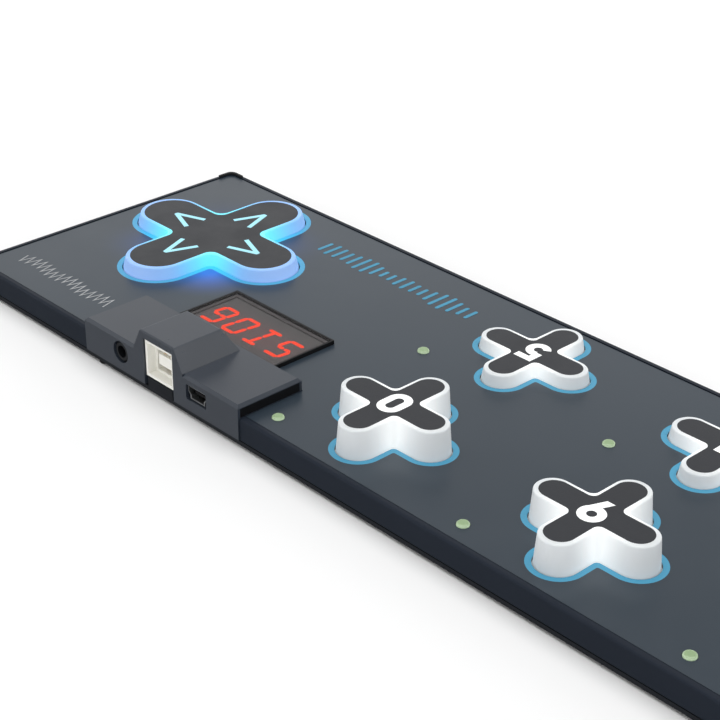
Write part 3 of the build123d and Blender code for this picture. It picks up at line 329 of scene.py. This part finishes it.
# ---------------------------------------------------------------- direction pad
nav = Surface("nav_silicone", (0.20, 0.35, 0.64), 0.4, specular=0.35)
nav.mottle(40.0, 0.04).grain(3600.0, 0.00002, 0.2).rough_spread(150.0, 0.36, 0.48)
nav.shader.inputs["Subsurface Weight"].default_value = 0.25
nav.shader.inputs["Subsurface Radius"].default_value = (0.002, 0.003, 0.005)
# Painted glow of the lit pad: emission brightest in the middle, turning blue and dimmer toward the ends of
# its arms.
away = nav.distance_from((NAV_CENTRE.x, NAV_CENTRE.y, PANEL_TOP), (1.0, 1.0, 0.3))
light = nav.ramp(
    nav.remap(away, 0.013, 0.034, 0.0, 1.0),
    (
        (0.0, (0.05, 0.95, 0.70)),
        (0.28, (0.05, 0.62, 0.68)),
        (0.6, (0.12, 0.27, 0.56)),
        (1.0, (0.24, 0.32, 0.52)),
    ),
)
nav.link(light, nav.shader.inputs["Emission Color"])
nav.shader.inputs["Emission Strength"].default_value = 0.8
paint("nav_pad", nav.done())

mark = Surface("chevron_lens", (0.14, 0.30, 0.36), 0.3, specular=0.3)
mark.mottle(200.0, 0.05)
mark.shader.inputs["Emission Color"].default_value = (0.38, 0.80, 0.92, 1.0)
mark.shader.inputs["Emission Strength"].default_value = 0.72
paint("nav_chevrons", mark.done())

metal = Surface("turned_steel", (0.55, 0.55, 0.56), 0.3, metal=1.0)
TURNED_MATERIAL = metal.mottle(300.0, 0.08).rough_spread(700.0, 0.22, 0.38).done()
for name in ("nav_ball", "nav_post"):
    paint(name, TURNED_MATERIAL)

# ---------------------------------------------------------------- display
glass = Surface("smoked_window", (0.055, 0.052, 0.052), 0.26, specular=0.45)
glass.mottle(30.0, 0.05).rough_spread(90.0, 0.23, 0.3)
glass.shader.inputs["Alpha"].default_value = 0.2
paint("display_window", glass.done())

lit = Surface("segment_red", (0.10, 0.004, 0.002), 0.6, specular=0.1)
lit.mottle(500.0, 0.1)
lit.shader.inputs["Emission Color"].default_value = (1.0, 0.055, 0.016, 1.0)
lit.shader.inputs["Emission Strength"].default_value = 1.45
paint("display_segments", lit.done())

# ---------------------------------------------------------------- connectors and board
ivory = Surface("ivory_nylon", (0.93, 0.92, 0.86), 0.35)
ivory.mottle(120.0, 0.05).grain(2500.0, 0.00002, 0.3).rough_spread(200.0, 0.3, 0.42)
ivory.shader.inputs["Subsurface Weight"].default_value = 0.2
ivory.shader.inputs["Subsurface Radius"].default_value = (0.001, 0.001, 0.001)
paint("usb_socket", ivory.done())

plated = Surface("plated_shell", (0.55, 0.56, 0.57), 0.3, metal=1.0)
plated.mottle(600.0, 0.1).rough_spread(900.0, 0.25, 0.4).grain(4000.0, 0.00001, 0.3)
paint("mini_shell", plated.done())

ferrule = Surface("blackened_ferrule", (0.018, 0.020, 0.024), 0.35, metal=0.6)
paint("jack_ferrule", ferrule.mottle(600.0, 0.15).rough_spread(900.0, 0.28, 0.42).done())

gold = Surface("gold_contacts", (0.75, 0.5, 0.2), 0.3, metal=1.0)
paint("usb_contacts", gold.mottle(900.0, 0.1).rough_spread(900.0, 0.25, 0.4).done())

mask = Surface("solder_mask", (0.01, 0.07, 0.03), 0.35)
mask.mottle(150.0, 0.25).rough_spread(200.0, 0.28, 0.45).grain(900.0, 0.00005, 0.4)
paint("main_board", mask.done())

carbon = Surface("sensor_carbon", (0.02, 0.02, 0.02), 0.7)
paint("sensor_pads", carbon.mottle(200.0, 0.2).grain(2600.0, 0.00005, 0.5).done())

chip = Surface("chip_black", (0.015, 0.015, 0.016), 0.55)
paint("board_chips", chip.mottle(200.0, 0.2).grain(3000.0, 0.00003, 0.5).done())

phosphor = Surface("led_chip", (0.75, 0.72, 0.4), 0.4)
PHOSPHOR_MATERIAL = phosphor.mottle(600.0, 0.1).done()
for name in ("key_backlights", "lamp_chips"):
    paint(name, PHOSPHOR_MATERIAL)


# ---------------------------------------------------------------- printed and raised marks
def plates(name, outlines, level, depth, material):
    """Flat closed outlines raised from level by depth, as one solid piece riding on the board."""
    shell = bmesh.new()
    for outline in outlines:
        lower = [shell.verts.new((x, y, level)) for x, y in outline]
        upper = [shell.verts.new((x, y, level + depth)) for x, y in outline]
        shell.faces.new(upper)
        shell.faces.new(list(reversed(lower)))
        count = len(outline)
        for index in range(count):
            after = (index + 1) % count
            shell.faces.new((lower[index], lower[after], upper[after], upper[index]))
    bmesh.ops.recalc_face_normals(shell, faces=shell.faces)
    mesh = bpy.data.meshes.new(name)
    shell.to_mesh(mesh)
    shell.free()
    mesh.materials.append(material)
    made = bpy.data.objects.new(name, mesh)
    bpy.context.scene.collection.objects.link(made)
    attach(made, "root")
    return made


def pill(x, y, width, length, steps=8):
    """Outline of a bar with round ends, standing along Y from y."""
    radius = width / 2
    points = []
    for index in range(steps + 1):
        angle = math.pi * index / steps
        points.append((x + radius * math.cos(angle), y + length - radius + radius * math.sin(angle)))
    for index in range(steps + 1):
        angle = math.pi + math.pi * index / steps
        points.append((x + radius * math.cos(angle), y + radius + radius * math.sin(angle)))
    return points


def stroke(points, width):
    """Outline of a mitred line of that width through the points."""
    left, right = [], []
    last = len(points) - 1
    for index, point in enumerate(points):
        here = Vector(point)
        before = (here - Vector(points[index - 1])).normalized() if index else None
        after = (Vector(points[index + 1]) - here).normalized() if index < last else None
        before = before or after
        after = after or before
        middle = (before + after).normalized()
        normal = Vector((-middle.y, middle.x))
        reach = width / 2 / max(0.35, normal.dot(Vector((-before.y, before.x))))
        left.append(tuple(here + normal * reach))
        right.append(tuple(here - normal * reach))
    return left + right[::-1]


PRINT_LEVEL = PANEL_TOP + 0.005 * MM
PRINT_DEPTH = 0.05 * MM

print_blue = Surface("print_blue", (0.05, 0.28, 0.44), 0.45, specular=0.35)
print_blue.mottle(60.0, 0.08).grain(3000.0, 0.00002, 0.3).rough_spread(300.0, 0.4, 0.52)
bars = []
BAR_RIGHT = 158.0 * MM
BAR_PITCH = 3.2 * MM
BAR_COUNT = 20
BAR_ROW = -34.2 * MM
BAR_WIDTH = 1.15 * MM
for index in range(BAR_COUNT):
    swell = 0.55 + 0.45 * math.sin(index * 0.9) * math.cos(index * 0.37 + 0.6)
    length = (2.6 + 6.4 * swell) * MM
    bars.append(pill(BAR_RIGHT - index * BAR_PITCH, BAR_ROW - length / 2, BAR_WIDTH, length))
plates("level_bars", bars, PRINT_LEVEL, PRINT_DEPTH, print_blue.done())

silver = Surface("print_silver", (0.42, 0.43, 0.44), 0.4, metal=0.3)
silver.mottle(200.0, 0.15).rough_spread(400.0, 0.35, 0.5)
wave = []
WAVE_COUNT = 34
WAVE_RIGHT = 213.6
WAVE_PITCH = 1.29
WAVE_ROW = 37.0
WAVE_STROKE = 0.4 * MM
for index in range(WAVE_COUNT):
    height = (1.2 + 1.5 * abs(math.sin(index * 1.31))) * (1 if index % 2 else -1)
    wave.append(((WAVE_RIGHT - index * WAVE_PITCH) * MM, (WAVE_ROW + height) * MM))
plates("wave_line", [stroke(wave, WAVE_STROKE)], PRINT_LEVEL, PRINT_DEPTH, silver.done())

# ---------------------------------------------------------------- floor, light and camera
mesh = bpy.data.meshes.new("floor")
FLOOR_HALF = 400.0
corners = [(x * FLOOR_HALF, y * FLOOR_HALF, 0) for x, y in ((-1, -1), (1, -1), (1, 1), (-1, 1))]
mesh.from_pydata(corners, [], [(0, 1, 2, 3)])
floor = bpy.data.objects.new("floor", mesh)
bpy.context.scene.collection.objects.link(floor)
paper = Surface("pale_paper", (0.93, 0.93, 0.93), 0.9, specular=0.1)
paper.mottle(2.0, 0.01).grain(500.0, 0.00002, 0.1)
mesh.materials.append(paper.done())
floor.visible_glossy = False

# A studio that is bright low down and dimmer overhead, and dark below the table's edge.
world = bpy.data.worlds.new("studio")
bpy.context.scene.world = world
world.use_nodes = True
nodes = world.node_tree.nodes
links = world.node_tree.links
direction = nodes.new("ShaderNodeTexCoord").outputs["Generated"]
parts = nodes.new("ShaderNodeSeparateXYZ")
links.new(direction, parts.inputs[0])
sky = nodes.new("ShaderNodeValToRGB")
links.new(parts.outputs["Z"], sky.inputs["Fac"])
SKY = ((0.0, 1.2), (0.38, 1.22), (0.5, 0.64), (0.62, 0.2), (1.0, 0.32))
while len(sky.color_ramp.elements) < len(SKY):
    sky.color_ramp.elements.new(0.5)
for element, (position, level) in zip(sky.color_ramp.elements, SKY):
    element.position = position
    element.color = (level, level, level, 1.0)
below = nodes.new("ShaderNodeMapRange")
below.inputs["From Min"].default_value = -0.2
below.inputs["From Max"].default_value = 0.8
below.inputs["To Min"].default_value = 0.02
below.inputs["To Max"].default_value = 0.45
links.new(parts.outputs["Y"], below.inputs["Value"])
above = nodes.new("ShaderNodeMath")
above.operation = "GREATER_THAN"
above.inputs[1].default_value = -0.01
links.new(parts.outputs["Z"], above.inputs[0])
halves = nodes.new("ShaderNodeMix")
halves.data_type = "RGBA"
links.new(above.outputs[0], halves.inputs[0])
links.new(below.outputs["Result"], halves.inputs[6])
links.new(sky.outputs["Color"], halves.inputs[7])
links.new(halves.outputs[2], nodes["Background"].inputs["Color"])


SUN_ENERGY = 2.0
SUN_SPREAD = 75.0
lamp = bpy.data.lights.new("overhead", "SUN")
lamp.energy = SUN_ENERGY
lamp.angle = math.radians(SUN_SPREAD)
overhead = bpy.data.objects.new("overhead", lamp)
overhead.location = (0.0, 0.0, 1.0)
bpy.context.scene.collection.objects.link(overhead)

# The camera stands behind the board's left part and looks over it toward the right end.
TARGET = Vector((99.2, 6.6, 8.8)) * MM
AZIMUTH = math.radians(46.69)
ELEVATION = math.radians(29.01)
ROLL = math.radians(0.39)
DISTANCE = 470.8 * MM
FOCAL = 87.7
back = Vector((
    -math.sin(AZIMUTH) * math.cos(ELEVATION),
    math.cos(AZIMUTH) * math.cos(ELEVATION),
    math.sin(ELEVATION),
))
side = Vector((0, 0, 1)).cross(back).normalized()
over = back.cross(side)
right = side * math.cos(ROLL) + over * math.sin(ROLL)
up = over * math.cos(ROLL) - side * math.sin(ROLL)
lens_data = bpy.data.cameras.new("camera")
lens_data.lens = FOCAL
lens_data.sensor_width = 36.0
lens_data.clip_start = 0.01
camera = bpy.data.objects.new("camera", lens_data)
rotation = Matrix((right, up, back)).transposed().to_4x4()
camera.matrix_world = Matrix.Translation(TARGET + back * DISTANCE) @ rotation
bpy.context.scene.collection.objects.link(camera)
bpy.context.scene.camera = camera
bpy.context.scene.view_settings.view_transform = "Standard"
